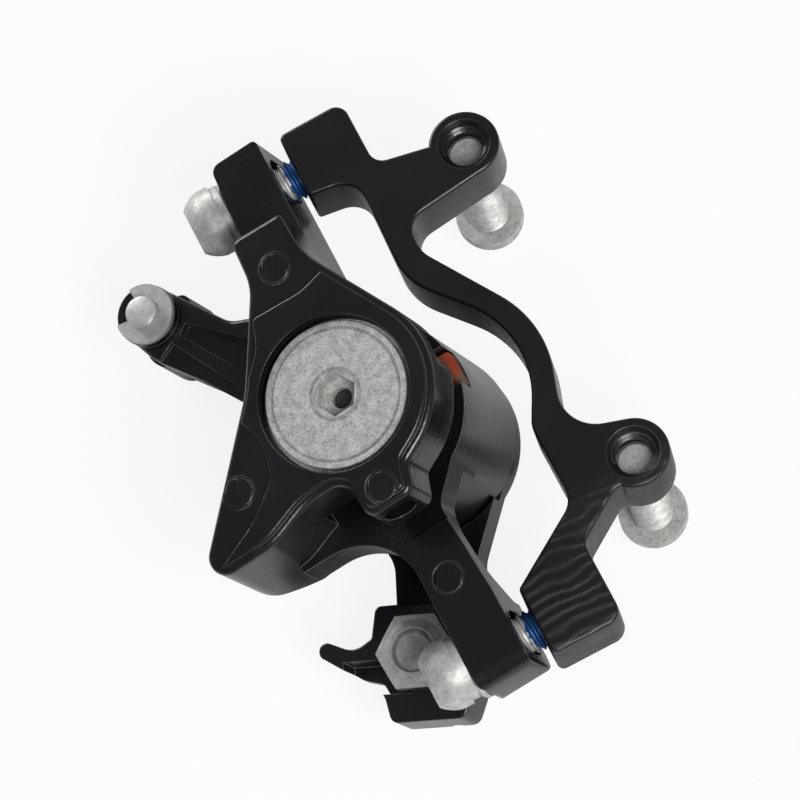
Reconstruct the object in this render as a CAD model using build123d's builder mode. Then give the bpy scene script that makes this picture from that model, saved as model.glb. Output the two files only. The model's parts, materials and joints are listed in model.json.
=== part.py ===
from build123d import *
import os
from math import atan2, cos, degrees, hypot, radians, sin, sqrt

# Cable-operated disc brake caliper on its adapter bracket, in millimetres.
# Row frame: +Z runs along the wheel axle towards the wheel, +Y along the line of
# the two caliper bolts, +X from the caliper to the bracket. The origin lies midway
# between the two fork-tab holes, on the bracket face that bears on the tab.
# Piston frame: u, v and w are X, Y and Z turned by rest_skew about the ears, with
# the piston axis as w and the bolt line at w = 0. Caliper pieces are drawn in it.

# Bracket
tab_hole_spacing = 51.0
post_spacing = 74.0
post_drop = 2.7
tab_to_post = 22.0
plate_thick = 8.8
plate_round = 0.5
boss_r = 4.9
end_depth = 10.0
end_half = 5.2

# Bolts, nuts and threads
thread_r = 3.0
thread_clear = 0.05
thread_sink = 0.6
point_chamfer = 0.6
post_head_r = 4.9
post_head_tip_r = 3.3
post_head_height = 4.4
post_bolt_reach = 9.0
tab_head_r = 4.8
tab_head_tip_r = 3.2
tab_head_height = 5.0
tab_bolt_reach = 4.8
tab_bolt_grip = 17.0
head_land = 1.6
socket_across = 4.0
socket_deep = 2.5

# Ears and their tilting washers
rest_skew = 13.2
ear_gap = 1.8
ear_thick = 8.0
ear_half = 5.2
ear_top_over = 5.6
ear_foot_over = 5.2
slot_half_w = 4.2
slot_half_v = 3.3
seat_r = 4.9
cup_r = 4.5
seat_rim = 0.6
seat_gap = 0.1
seat_back = 0.2
seat_hole_half = 4.45

# Caliper body
piston_back = 3.7
piston_drop = 0.9
rotor_slot = 4.4
slot_step = 0.6
front_thick = 7.9
plateau_rise = 0.8
plateau_inset = 0.9
edge_round = 0.8
plateau_round = 0.35
barrel_r = 13.4
barrel_end = 16.0
bridge_back = 3.5
rotor_r = 80.0
rotor_edge_gap = 1.5
axle_reach = 70.0
arm_web = 3.5
wall_web = 5.8
mark_r = 2.3
mark_deep = 0.15
fit_clear = 0.05

# Pads
pad_gap = 2.4
lining_thick = 3.6
backplate_thick = 1.8
pad_r = 11.2
lining_inset = 1.0
pad_tab = 2.0
pad_tab_half = 2.6
pad_corner = 0.7
pad_play = 0.3
pad_lift = 0.3
spring_sheet = 0.4
spring_half = 2.0

# Inboard pad adjuster
disc_r = 10.0
disc_thread_r = 10.5
disc_bore_r = 10.75
disc_sunk = 0.8
disc_land = 1.4
disc_ring = 0.8
disc_groove = 0.15
hex_across = 5.1
hex_deep = 2.4
hex_dish = 0.3
sight_hole_r = 1.45

# Ball-ramp drive
piston_r = 9.0
piston_long = 8.0
ball_r = 2.0
ball_ring_r = 5.9
ball_count = 3
ramp_gap = 1.2
race_deep = 0.75
ramp_turn = 20.0
ramp_lift = 1.0
ramp_clear = 0.15
cage_thick = 0.8
cage_gap = 0.15
ramp_plate_r = 8.6
ramp_plate_thick = 2.2
thrust_thick = 1.2
spindle_r = 4.4
bush_wall = 1.0
seal_wide = 1.6
seal_deep = 1.2
dust_seal_r = 6.9
dust_seal_thick = 1.4

# Actuator arm and its return spring
arm_gap = 0.4
hub_r = 12.9
hub_thick = 3.6
arm_angle = -117.0
shank_front = 14.2
shank_back = 18.2
block_front = 10.0
block_thick = 6.2
block_floor = 1.8
clamp_radius = 29.9
clamp_side = 0.6
nut_across = 10.0
nut_play = 0.15
nut_thick = 5.0
clamp_washer_r = 5.4
clamp_washer_thick = 1.2
clamp_head_r = 4.8
clamp_head_height = 3.6
cable_r = 0.8
square_across = 6.2
square_long = 2.6
arm_bolt_r = 2.5
arm_bolt_reach = 8.0
arm_washer_r = 6.0
arm_washer_thick = 1.0
arm_head_r = 4.7
arm_head_height = 2.8
spring_wire_r = 0.75
spring_mean_r = 9.5
spring_sweep = 300.0
spring_leg = 2.0

# Cable stop
stop_u = -24.1
stop_v = 34.8
stop_boss_r = 4.4
stop_front = 5.0
stop_long = 8.0
stop_arm_front = 6.2
stop_arm_thick = 8.2
stop_pin_r = 2.3
stop_pin_over = 2.2
pin_press = 2.4
clip_r = 4.3
clip_thick = 0.8
clip_groove = 0.5
clip_opening = 133.0
clip_gape = 76.0
clip_window_turn = 46.0
clip_window_sweep = 48.0
stop_block_half = 4.5
stop_block_top = 3.5
stop_block_foot = 5.5
housing_r = 2.55
housing_deep = 6.5
housing_drop = 5.4
cable_hole_r = 1.1

# Places and levels worked out from the sizes above
piston_y = -post_drop - piston_drop
upper_bolt_y = post_spacing / 2 - post_drop
lower_bolt_y = -post_spacing / 2 - post_drop
post_x = -tab_to_post
bolt_z = plate_thick / 2
pivot_x = post_x - ear_gap - ear_thick / 2
hole_y = tab_hole_spacing / 2
tapped_r = thread_r + thread_clear

slot_back = ear_half
slot_front = slot_back + rotor_slot
lobe_level = slot_front + front_thick
face_level = lobe_level + plateau_rise
rotor_level = (slot_back + slot_front) / 2
inner_lining_level = rotor_level + pad_gap / 2
inner_plate_level = inner_lining_level + lining_thick
inner_back_level = inner_plate_level + backplate_thick
outer_lining_level = rotor_level - pad_gap / 2 - lining_thick
outer_plate_level = outer_lining_level - backplate_thick
piston_end_level = outer_plate_level - piston_long
race_level = piston_end_level - ramp_gap
ball_level = race_level - race_deep + ball_r + fit_clear
ramp_back_level = race_level - ramp_plate_thick
bore_end_level = ramp_back_level - fit_clear - thrust_thick
hub_front_level = -barrel_end - arm_gap
hub_back_level = hub_front_level - hub_thick
ear_face = piston_back
ear_back = ear_face - ear_thick
upper_ear = upper_bolt_y - piston_y
lower_ear = lower_bolt_y - piston_y
bottom_wall = 1.07 * barrel_r

skew_u = (cos(radians(rest_skew)), 0, sin(radians(rest_skew)))
skew_w = (-sin(radians(rest_skew)), 0, cos(radians(rest_skew)))
pivot_frame = Plane(origin=(pivot_x, piston_y, bolt_z), x_dir=skew_u, z_dir=skew_w)
piston_frame = Plane(
    origin=pivot_frame.from_local_coords((ear_thick / 2 - piston_back, 0, 0)),
    x_dir=skew_u,
    z_dir=skew_w,
)
piston_axis = Axis(piston_frame.origin, skew_w)


def level(height):
    """The plane square to the piston axis at a height w."""
    return piston_frame.offset(height)


def turning(u=0.0, v=0.0):
    """The half plane of radius and height w round an axis parallel to the piston's."""
    origin = piston_frame.from_local_coords((u, v, 0))
    return Plane(origin=origin, x_dir=skew_u, z_dir=(0, -1, 0))


def turned(plane, *profiles):
    """A turned piece from closed profiles of radius and height."""
    with BuildPart() as piece:
        with BuildSketch(plane):
            for profile in profiles:
                with BuildLine():
                    Polyline(*profile, close=True)
                make_face()
        revolve(axis=Axis(plane.origin, plane.y_dir))
    return piece


def tube(plane, inner, outer, low, high):
    """A plain turned ring."""
    return turned(plane, [(inner, low), (outer, low), (outer, high), (inner, high)])


def outline(rows, size=1.0):
    """A closed outline from rows of x, y and corner radius, all times size."""
    points = [(x * size, y * size) for x, y, _ in rows]
    FilletPolyline(*points, radius=[r * size for _, _, r in rows], close=True)


def save(piece, name):
    piece.part.label = name
    export_step(piece.part, f"parts/{name}.step")


# Adapter bracket: a flat plate with two threaded bosses on the fork-tab side, two
# ends threaded from the caliper side, and an S-shaped spine between them
top_end = upper_bolt_y + end_half
top_root = upper_bolt_y - end_half * 0.95
foot_end = lower_bolt_y - end_half * 1.05
foot_root = lower_bolt_y + end_half * 0.9
bulge_out = tab_to_post * 0.918
bulge_in = tab_to_post * 0.818
waist_out = tab_to_post * 0.45
waist_in = tab_to_post * 0.273
foot_waist = tab_to_post * 0.53

bracket_rows = [
    (0, top_end, boss_r * 0.2),
    (end_depth, top_end + plate_round / 2, boss_r * 0.4),
    (end_depth, hole_y + boss_r * 0.76, boss_r * 0.45),
    (tab_to_post, hole_y + boss_r * 0.25, 0),
    (tab_to_post, hole_y - boss_r, 0),
    (waist_out, hole_y - boss_r * 1.3, boss_r * 0.65),
    (waist_out, hole_y - boss_r * 2.3, boss_r),
    (bulge_out, -boss_r * 0.6, boss_r * 3.27),
    (bulge_out - boss_r, -hole_y + boss_r * 1.5, boss_r * 1.1),
    (tab_to_post + boss_r * 0.29, -hole_y + boss_r * 0.957, 0),
    (tab_to_post, -hole_y - boss_r, 0),
    (bulge_in, -hole_y - boss_r * 0.62, boss_r * 0.5),
    (end_depth + plate_round, foot_root + boss_r * 0.3, boss_r * 0.37),
    (end_depth + plate_round, foot_end, boss_r * 0.45),
    (0, foot_end, boss_r * 0.2),
    (0, foot_root, boss_r * 0.16),
    (foot_waist, -hole_y - boss_r * 0.4, boss_r * 0.7),
    (foot_waist, -hole_y + boss_r * 2.02, boss_r * 0.8),
    (bulge_in, -boss_r * 0.7, boss_r * 3.0),
    (waist_in, boss_r * 2.33, boss_r * 1.9),
    (waist_in + boss_r * 0.16, top_root - boss_r * 0.2, boss_r * 0.73),
    (0, top_root, boss_r * 0.1),
]

with BuildPart() as adapter_bracket:
    with BuildSketch(Plane.XY) as bracket_sketch:
        with BuildLine():
            outline([(post_x + x, y, r) for x, y, r in bracket_rows])
        make_face()
        with Locations((0, hole_y), (0, -hole_y)):
            Circle(boss_r)
    extrude(amount=plate_thick)
    rims = adapter_bracket.faces().filter_by(Axis.Z).edges()
    fillet(rims, plate_round)
    with BuildSketch(Plane.XY):
        with Locations((0, hole_y), (0, -hole_y)):
            Circle(tapped_r)
    extrude(amount=plate_thick, mode=Mode.SUBTRACT)
    mouths = (
        adapter_bracket.edges()
        .filter_by(GeomType.CIRCLE)
        .filter_by(lambda e: abs(e.radius - tapped_r) < thread_clear / 2)
    )
    chamfer(mouths, thread_sink)
    end_plane = Plane(origin=(post_x, 0, bolt_z), x_dir=(0, 1, 0), z_dir=(-1, 0, 0))
    with BuildSketch(end_plane):
        with Locations((upper_bolt_y, 0), (lower_bolt_y, 0)):
            Circle(tapped_r)
    extrude(amount=-end_depth - boss_r / 2, mode=Mode.SUBTRACT)


# Bolts
def button_bolt(place, grip, reach, shank_r, head_r, tip_r, height):
    """A domed socket bolt: the place's y axis runs from the head to the thread."""
    with BuildPart() as bolt:
        with BuildSketch(place):
            with BuildLine():
                land = (head_r, -grip - head_land * height / post_head_height)
                tip = (tip_r, -grip - height)
                swell = ((head_r * 1.12 + tip_r) / 2, (land[1] + tip[1]) / 2)
                Polyline(
                    (0, reach),
                    (shank_r - point_chamfer, reach),
                    (shank_r, reach - point_chamfer),
                    (shank_r, -grip),
                    (head_r, -grip),
                    land,
                )
                ThreePointArc(land, swell, tip)
                Polyline(tip, (0, -grip - height), (0, reach))
            make_face()
        revolve(axis=Axis(place.origin, place.y_dir))
        crown = place.from_local_coords((0, -grip - height, 0))
        with BuildSketch(Plane(origin=crown, x_dir=place.x_dir, z_dir=-place.y_dir)):
            RegularPolygon(radius=socket_across / 2, side_count=6, major_radius=False)
        extrude(amount=-socket_deep, mode=Mode.SUBTRACT)
    return bolt


def copies(piece, *places):
    """One node of several like solids."""
    with BuildPart() as group:
        with Locations(*places):
            add(piece.part)
    return group


tab_holes = [(0, hole_y, 0), (0, -hole_y, 0)]
bolt_lines = [(0, upper_bolt_y, 0), (0, lower_bolt_y, 0)]
tab_place = Plane(origin=(0, 0, 0), x_dir=(1, 0, 0), z_dir=(0, -1, 0))
post_place = Plane(origin=(pivot_x, 0, bolt_z), x_dir=(0, 0, 1), z_dir=(0, 1, 0))
ear_place = Plane(origin=(pivot_x, 0, bolt_z), x_dir=skew_w, z_dir=(0, 1, 0))

seat_foot = ear_thick / 2
ball_seat_r = hypot(seat_r, seat_foot + seat_rim)
cup_seat_r = ball_seat_r + seat_gap
cup_hole_r = thread_r + 2 * seat_gap
cup_back = sqrt(cup_seat_r**2 - cup_hole_r**2) + seat_back

one_tab_bolt = button_bolt(
    tab_place, tab_bolt_grip, tab_bolt_reach,
    thread_r, tab_head_r, tab_head_tip_r, tab_head_height,
)
one_post_bolt = button_bolt(
    post_place, cup_back, post_x + post_bolt_reach - pivot_x,
    thread_r, post_head_r, post_head_tip_r, post_head_height,
)
fork_tab_bolts = copies(one_tab_bolt, *tab_holes)
caliper_bolts = copies(one_post_bolt, *bolt_lines)

# Tilting washers: a ball washer sits on each ear and leans in a cup washer that
# stays square to the bolt; both spheres are centred on the middle of the ear
with BuildPart() as one_cup_washer:
    with BuildSketch(post_place):
        with BuildLine():
            rim = (cup_r, -sqrt(cup_seat_r**2 - cup_r**2))
            eye = (cup_hole_r, -sqrt(cup_seat_r**2 - cup_hole_r**2))
            middle_r = (cup_r + cup_hole_r) / 2
            belly = (middle_r, -sqrt(cup_seat_r**2 - middle_r**2))
            ThreePointArc(rim, belly, eye)
            Polyline(eye, (cup_hole_r, -cup_back), (cup_r, -cup_back), rim)
        make_face()
    revolve(axis=Axis(post_place.origin, post_place.y_dir))

with BuildPart() as one_ball_washer:
    with BuildSketch(ear_place):
        with BuildLine():
            rim = (seat_r, -seat_foot - seat_rim)
            crown = (0, -ball_seat_r)
            half_r = seat_r / 2
            belly = (half_r, -sqrt(ball_seat_r**2 - half_r**2))
            ThreePointArc(rim, belly, crown)
            Polyline(crown, (0, -seat_foot), (seat_r, -seat_foot), rim)
        make_face()
    revolve(axis=Axis(ear_place.origin, ear_place.y_dir))
    with BuildSketch(Plane(origin=ear_place.origin, x_dir=skew_w, z_dir=skew_u)):
        SlotOverall(2 * seat_hole_half, 2 * slot_half_v)
    extrude(amount=-2 * ball_seat_r, mode=Mode.SUBTRACT)

cup_washers = copies(one_cup_washer, *bolt_lines)
ball_washers = copies(one_ball_washer, *bolt_lines)

# Caliper body, front half: a lobed plate in front of the rotor. Outlines of the
# casting are shares of barrel_r, in the piston frame
lobe_shares = [
    (-0.243, 2.003, 0.090),
    (0.343, 1.981, 0.045),
    (0.358, 1.496, 0.896),
    (1.144, 0.031, 0.993),
    (0.782, -0.747, 0.993),
    (0.321, -0.997, 0.149),
    (0.231, -1.288, 0.134),
    (-0.291, -1.288, 0.134),
    (-0.321, -0.803, 0.194),
    (-0.769, -0.810, 0.746),
    (-1.254, -0.997, 0.746),
    (-2.172, -1.019, 0.194),
    (-0.828, 0.533, 1.119),
    (-0.269, 1.488, 0.597),
]
plateau_shares = [
    (0.700, 1.240, 0),
    (0.180, 1.110, 0.450),
    (-0.390, 1.140, 0.070),
    (-0.490, 0.840, 0.450),
    (-0.925, 0.390, 0.040),
    (-1.100, 0.350, 0),
    (-0.985, 0.290, 0.040),
    (-0.885, 0.035, 0.370),
    (-0.940, -0.390, 0.370),
    (-1.310, -0.690, 0.750),
    (-2.050, -1.030, 0),
    (-2.000, -1.500, 0),
    (1.500, -1.500, 0),
    (1.500, 1.240, 0),
]

with BuildPart() as front_half:
    with BuildSketch(level(slot_front)):
        with BuildLine():
            outline(lobe_shares, barrel_r)
        make_face()
    extrude(amount=front_thick)
    fillet(front_half.faces().sort_by(piston_axis)[-1].edges(), edge_round)
    with BuildSketch(level(lobe_level)):
        with BuildLine():
            outline(lobe_shares, barrel_r)
        make_face()
        offset(amount=-plateau_inset, mode=Mode.REPLACE)
        with BuildLine():
            outline(plateau_shares, barrel_r)
        make_face(mode=Mode.INTERSECT)
    extrude(amount=plateau_rise)
    fillet(front_half.faces().sort_by(piston_axis)[-1].edges(), plateau_round)

# Bridge outside the rotor's edge: it carries the front half
with BuildPart() as bridge:
    with BuildSketch(level(slot_back)):
        with BuildLine():
            outline(lobe_shares, barrel_r)
        make_face()
        with Locations((axle_reach, 0)):
            Circle(rotor_r + rotor_edge_gap, mode=Mode.SUBTRACT)
    extrude(amount=rotor_slot)
    with BuildSketch(level(-bridge_back)):
        with BuildLine():
            outline(lobe_shares, barrel_r)
        make_face()
        with Locations((-1.5 * barrel_r, -0.5 * barrel_r)):
            Rectangle(3 * barrel_r, 2.6 * barrel_r, mode=Mode.INTERSECT)
    extrude(amount=bridge_back + slot_back)
    heel = Plane(origin=piston_frame.origin, x_dir=skew_u, z_dir=(0, -1, 0))
    with BuildSketch(heel):
        with BuildLine():
            inner = (-1.35 * barrel_r, -bridge_back)
            outer = (-2.05 * barrel_r, slot_front)
            bend = (-1.75 * barrel_r, 0.02 * barrel_r)
            ThreePointArc(inner, bend, outer)
            Polyline(outer, (-2.5 * barrel_r, slot_front), (-2.5 * barrel_r, -bridge_back), inner)
        make_face()
    extrude(amount=2 * barrel_r, both=True, mode=Mode.SUBTRACT)

# Ears on a web behind the rotor, with slots for the tilting bolts
ear_root_r = barrel_r * 0.7
web_rows = [
    (ear_back + ear_thick * 0.07, upper_ear + ear_top_over, ear_thick * 0.18),
    (ear_face, upper_ear + ear_top_over, ear_thick * 0.1),
    (ear_face, 1.5 * barrel_r, barrel_r * 0.6),
    (0.7 * barrel_r, 0.67 * barrel_r, 0),
    (0.7 * barrel_r, -0.67 * barrel_r, 0),
    (ear_face - ear_thick * 0.13, -1.2 * barrel_r, barrel_r * 0.2),
    (ear_face, lower_ear + 1.1 * ear_half, 0),
    (ear_face, lower_ear - ear_foot_over, ear_thick * 0.12),
    (ear_back, lower_ear - ear_foot_over, ear_thick * 0.12),
    (ear_back, -bottom_wall, ear_root_r),
    (-1.35 * barrel_r, -bottom_wall, 0),
    (-1.35 * barrel_r, -0.45 * barrel_r, 0),
    (-0.6 * barrel_r, 0.7 * barrel_r, 0),
    (ear_back, 1.35 * barrel_r, barrel_r * 0.4),
    (ear_back, 0.87 * upper_ear, barrel_r),
]
with BuildPart() as ears:
    with BuildSketch(level(-ear_half)):
        with BuildLine():
            outline(web_rows)
        make_face()
    extrude(amount=2 * ear_half)
    side = Plane(origin=piston_frame.origin, x_dir=(0, 1, 0), z_dir=skew_u)
    arm_back = slot_back - arm_web
    wall_back = slot_back - wall_web
    with BuildSketch(side):
        with BuildLine():
            outline([
                (lower_ear + ear_half * 1.05, -2 * ear_half, 0),
                (lower_ear + ear_half * 1.05, -ear_half * 0.6, ear_half * 0.5),
                (lower_ear + ear_half * 1.9, arm_back, ear_half * 1.1),
                (-1.5 * barrel_r, arm_back, 0),
                (-1.25 * barrel_r, wall_back, 0),
                (-0.9 * barrel_r, wall_back, 0),
                (-0.9 * barrel_r, -2 * ear_half, 0),
            ])
        make_face()
    extrude(amount=2 * barrel_r, both=True, mode=Mode.SUBTRACT)
    ear_foot = lower_ear - ear_foot_over
    above_ears = upper_ear + ear_top_over + ear_half
    with BuildSketch(side):
        with Locations(((ear_foot + above_ears) / 2, 0)):
            RectangleRounded(above_ears - ear_foot, 2 * ear_half, ear_half * 0.5)
    extrude(amount=2 * barrel_r, both=True, mode=Mode.INTERSECT)
    ear_lines = Plane(origin=piston_frame.origin, x_dir=skew_w, z_dir=skew_u)
    with BuildSketch(ear_lines):
        with Locations((0, -upper_ear), (0, -lower_ear)):
            SlotOverall(2 * slot_half_w, 2 * slot_half_v)
    extrude(amount=ear_thick, both=True, mode=Mode.SUBTRACT)

# Bracket of the cable stop, a ribbed arm that reaches out from the barrel
stop_reach = hypot(stop_u, stop_v)
stop_frame = Plane(
    origin=piston_frame.origin,
    x_dir=piston_frame.from_local_coords((stop_u, stop_v, 0)) - piston_frame.origin,
    z_dir=skew_w,
)
stop_rows = [
    (stop_reach, -stop_boss_r, 0),
    (stop_reach - 2.6 * stop_boss_r, -0.93 * stop_boss_r, stop_boss_r),
    (stop_reach - 3.5 * stop_boss_r, -1.5 * stop_boss_r, 1.5 * stop_boss_r),
    (0.75 * barrel_r, -barrel_r * 0.6, 0),
    (0.75 * barrel_r, barrel_r * 0.45, 0),
    (stop_reach - 2.7 * stop_boss_r, 1.12 * stop_boss_r, 2.2 * stop_boss_r),
    (stop_reach - 0.7 * stop_boss_r, 1.18 * stop_boss_r, 0.8 * stop_boss_r),
    (stop_reach + 0.2 * stop_boss_r, 0.95 * stop_boss_r, 0),
]
channel_rows = [
    (stop_reach - 1.25 * stop_boss_r, -0.3 * stop_boss_r, 0),
    (stop_reach - 1.25 * stop_boss_r, 0.1 * stop_boss_r, 0),
    (1.3 * barrel_r, 0.5 * stop_boss_r, 0),
    (1.3 * barrel_r, -stop_boss_r, 0),
]
ledge_rows = [
    (stop_reach - 1.1 * stop_boss_r, 0.45 * stop_boss_r, 0),
    (stop_reach - 0.9 * stop_boss_r, 2 * stop_boss_r, 0),
    (1.3 * barrel_r, 2 * stop_boss_r, 0),
    (1.3 * barrel_r, 1.05 * stop_boss_r, 0),
]
with BuildPart() as stop_arm:
    arm_base = -stop_arm_front - stop_arm_thick
    with BuildSketch(stop_frame.offset(arm_base)):
        with BuildLine():
            outline(stop_rows)
        make_face()
    extrude(amount=stop_arm_thick)
    fillet(stop_arm.faces().sort_by(piston_axis)[-1].edges(), edge_round)
    for rows, depth in ((channel_rows, 2 * edge_round), (ledge_rows, edge_round)):
        with BuildSketch(stop_frame.offset(-stop_arm_front)):
            with BuildLine():
                outline(rows)
            make_face()
        extrude(amount=-depth, mode=Mode.SUBTRACT)
    with BuildSketch(stop_frame.offset(-stop_front)):
        with Locations((stop_reach, 0)):
            Circle(stop_boss_r)
    extrude(amount=-stop_long)
    with BuildSketch(stop_frame.offset(-stop_front)):
        with Locations((stop_reach, 0)):
            Circle(stop_pin_r + fit_clear)
    extrude(amount=-stop_long - stop_arm_thick, mode=Mode.SUBTRACT)
    with BuildSketch(stop_frame.offset(-stop_front - stop_long)):
        with Locations((stop_reach, 0)):
            Circle(2 * stop_boss_r)
    extrude(amount=-stop_arm_thick, mode=Mode.SUBTRACT)


def pad_face(half, reach, radius):
    """Face of a round pad with a square tab on the open side."""
    Circle(radius)
    with Locations((reach / 2, 0)):
        Rectangle(reach, 2 * half)


# The casting: halves, web and stop arm in one, then bored along the piston axis
with BuildPart() as caliper_body:
    with BuildSketch(level(-barrel_end)):
        Circle(barrel_r)
    extrude(amount=barrel_end + slot_back)
    add(ears.part)
    add(bridge.part)
    add(front_half.part)
    add(stop_arm.part)
    # Floor of the rotor slot, a step below the face of the web
    with BuildSketch(level(slot_back)):
        with BuildLine():
            outline([
                (-0.41 * barrel_r, -0.9 * barrel_r, 0),
                (-0.39 * barrel_r, -1.2 * barrel_r, 0),
                (-0.29 * barrel_r, -1.39 * barrel_r, 0),
                (0.5 * barrel_r, -1.38 * barrel_r, 0),
                (1.2 * barrel_r, -0.9 * barrel_r, 0),
                (1.2 * barrel_r, 1.4 * barrel_r, 0),
                (-0.41 * barrel_r, 1.4 * barrel_r, 0),
            ])
        make_face()
    extrude(amount=-slot_step, mode=Mode.SUBTRACT)
    # Pad pockets, open towards the bracket, on both sides of the rotor
    for floor, tall in (
        (outer_plate_level - pad_lift, slot_back - outer_plate_level + pad_lift),
        (slot_front, inner_back_level + pad_lift - slot_front),
    ):
        with BuildSketch(level(floor)):
            pad_face(pad_tab_half + pad_play, 2 * barrel_r, pad_r + pad_play)
        extrude(amount=tall, mode=Mode.SUBTRACT)
    # Adjuster bore
    with BuildSketch(level(face_level)):
        Circle(disc_bore_r)
    extrude(amount=-disc_sunk - disc_land, mode=Mode.SUBTRACT)
    with BuildSketch(level(face_level)):
        Circle(disc_thread_r + fit_clear)
    extrude(amount=inner_back_level - face_level, mode=Mode.SUBTRACT)
    # Piston bore with its seal groove, then the spindle bore with its dust seal
    with BuildSketch(level(outer_plate_level)):
        Circle(piston_r + fit_clear)
    extrude(amount=bore_end_level - outer_plate_level, mode=Mode.SUBTRACT)
    with BuildSketch(level(outer_plate_level - seal_wide)):
        Circle(piston_r + seal_deep + fit_clear)
    extrude(amount=-seal_wide, mode=Mode.SUBTRACT)
    with BuildSketch(level(bore_end_level)):
        Circle(spindle_r + fit_clear + bush_wall)
    extrude(amount=-barrel_end - bore_end_level, mode=Mode.SUBTRACT)
    with BuildSketch(level(-barrel_end)):
        Circle(dust_seal_r)
        with PolarLocations(spring_mean_r, 1, start_angle=arm_angle + 90):
            Circle(spring_wire_r + fit_clear)
    extrude(amount=dust_seal_thick, mode=Mode.SUBTRACT)
    with BuildSketch(level(-barrel_end)):
        with PolarLocations(spring_mean_r, 1, start_angle=arm_angle + 90):
            Circle(spring_wire_r + fit_clear)
    extrude(amount=spring_leg, mode=Mode.SUBTRACT)
    # Ejector marks of the casting
    for height, u_share, v_share in (
        (lobe_level, 0.045, 1.496),
        (lobe_level, -1.328, -0.333),
        (face_level, -0.007, -1.102),
        (slot_back, -0.060, -1.922),
    ):
        with BuildSketch(level(height)):
            with Locations((u_share * barrel_r, v_share * barrel_r)):
                Circle(mark_r)
                Circle(mark_r - 2 * mark_deep, mode=Mode.SUBTRACT)
        extrude(amount=-mark_deep, mode=Mode.SUBTRACT)
    # Blind hole in the foot of the lower lobe
    lobe_foot = Plane(
        origin=piston_frame.from_local_coords((0, -1.288 * barrel_r, lobe_level)),
        x_dir=skew_u,
        z_dir=(0, -1, 0),
    )
    with BuildSketch(lobe_foot):
        with Locations((-0.03 * barrel_r, -front_thick / 2)):
            Circle(mark_r)
    extrude(amount=-mark_r, mode=Mode.SUBTRACT)

# Inboard adjuster: a threaded disc with a hex socket and a sight hole
disc_front = face_level - disc_sunk
disc_neck = disc_front - disc_land
with BuildPart() as adjuster_disc:
    with BuildSketch(level(inner_back_level)):
        Circle(disc_thread_r)
    extrude(amount=disc_neck - inner_back_level)
    with BuildSketch(level(disc_neck)):
        Circle(disc_r)
    extrude(amount=disc_land)
    fillet(adjuster_disc.faces().sort_by(piston_axis)[-1].edges(), disc_groove)
    with BuildSketch(level(disc_front)):
        Circle(disc_r - disc_ring)
        Circle(disc_r - disc_ring - 2 * disc_groove, mode=Mode.SUBTRACT)
    extrude(amount=-disc_groove, mode=Mode.SUBTRACT)
    with BuildSketch(level(disc_front)):
        Circle(hex_across / sqrt(3) + hex_dish)
    extrude(amount=-hex_dish, mode=Mode.SUBTRACT)
    with BuildSketch(level(disc_front)):
        RegularPolygon(radius=hex_across / 2, side_count=6, major_radius=False)
    extrude(amount=-hex_deep, mode=Mode.SUBTRACT)
    with BuildSketch(level(disc_front)):
        Circle(sight_hole_r)
    extrude(amount=inner_back_level - disc_front, mode=Mode.SUBTRACT)


# Pads: a steel plate and a bonded lining each, a mirrored pair
def pad_layer(low_level, thick, inset):
    with BuildPart() as layer:
        with BuildSketch(level(low_level)) as face:
            pad_face(pad_tab_half - inset, pad_r + pad_tab - inset, pad_r - inset)
            fillet(face.vertices(), pad_corner)
        extrude(amount=thick)
    return layer


inner_pad_plate = pad_layer(inner_plate_level, backplate_thick, 0)
inner_pad_lining = pad_layer(inner_lining_level, lining_thick, lining_inset)
outer_pad_plate = pad_layer(outer_plate_level, backplate_thick, 0)
outer_pad_lining = pad_layer(outer_lining_level, lining_thick, lining_inset)

# Sheet spring that spreads the pads: a C on each plate, joined outside the rotor
wing_r = pad_r - spring_sheet / 4
with BuildPart() as pad_spring:
    for wing_level in (outer_lining_level, inner_plate_level - spring_sheet):
        with BuildSketch(level(wing_level)):
            Circle(wing_r)
            Circle(pad_r - lining_inset + spring_sheet / 2, mode=Mode.SUBTRACT)
            with Locations((pad_r * 0.75, 0)):
                Rectangle(2 * pad_r, 2 * pad_r, mode=Mode.SUBTRACT)
        extrude(amount=spring_sheet)
    with BuildSketch(level(outer_lining_level)):
        with Locations((spring_sheet / 2 - wing_r, 0)):
            Rectangle(spring_sheet, 2 * spring_half)
    extrude(amount=inner_plate_level - outer_lining_level)

# Ball-ramp drive behind the outer pad
ball_angles = [90 + 360 / ball_count * turn for turn in range(ball_count)]


def on_ball_ring(angle, height):
    """A point of the piston frame on the balls' pitch circle."""
    local = (ball_ring_r * cos(radians(angle)), ball_ring_r * sin(radians(angle)), height)
    return piston_frame.from_local_coords(local)


with BuildPart() as piston:
    with BuildSketch(level(piston_end_level)):
        Circle(piston_r)
    extrude(amount=piston_long)
    chamfer(piston.edges().filter_by(GeomType.CIRCLE), fit_clear * 4)
    for angle in ball_angles:
        deep_end = on_ball_ring(angle, ball_level)
        high_end = on_ball_ring(angle - ramp_turn, ball_level - ramp_lift)
        ramp = high_end - deep_end
        with BuildSketch(Plane(origin=deep_end, z_dir=ramp)):
            Circle(ball_r + ramp_clear)
        extrude(amount=ramp.length, mode=Mode.SUBTRACT)
        with Locations(deep_end, high_end):
            Sphere(ball_r + ramp_clear, mode=Mode.SUBTRACT)

with BuildPart() as ramp_balls:
    with Locations(*[on_ball_ring(angle, ball_level) for angle in ball_angles]):
        Sphere(ball_r)

with BuildPart() as ball_cage:
    with BuildSketch(level(race_level + cage_gap)):
        Circle(piston_r - 2 * ramp_clear)
        Circle(ball_ring_r - ball_r * 1.5, mode=Mode.SUBTRACT)
        with PolarLocations(ball_ring_r, ball_count, start_angle=ball_angles[0]):
            Circle(ball_r + ramp_clear, mode=Mode.SUBTRACT)
    extrude(amount=cage_thick)

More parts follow.
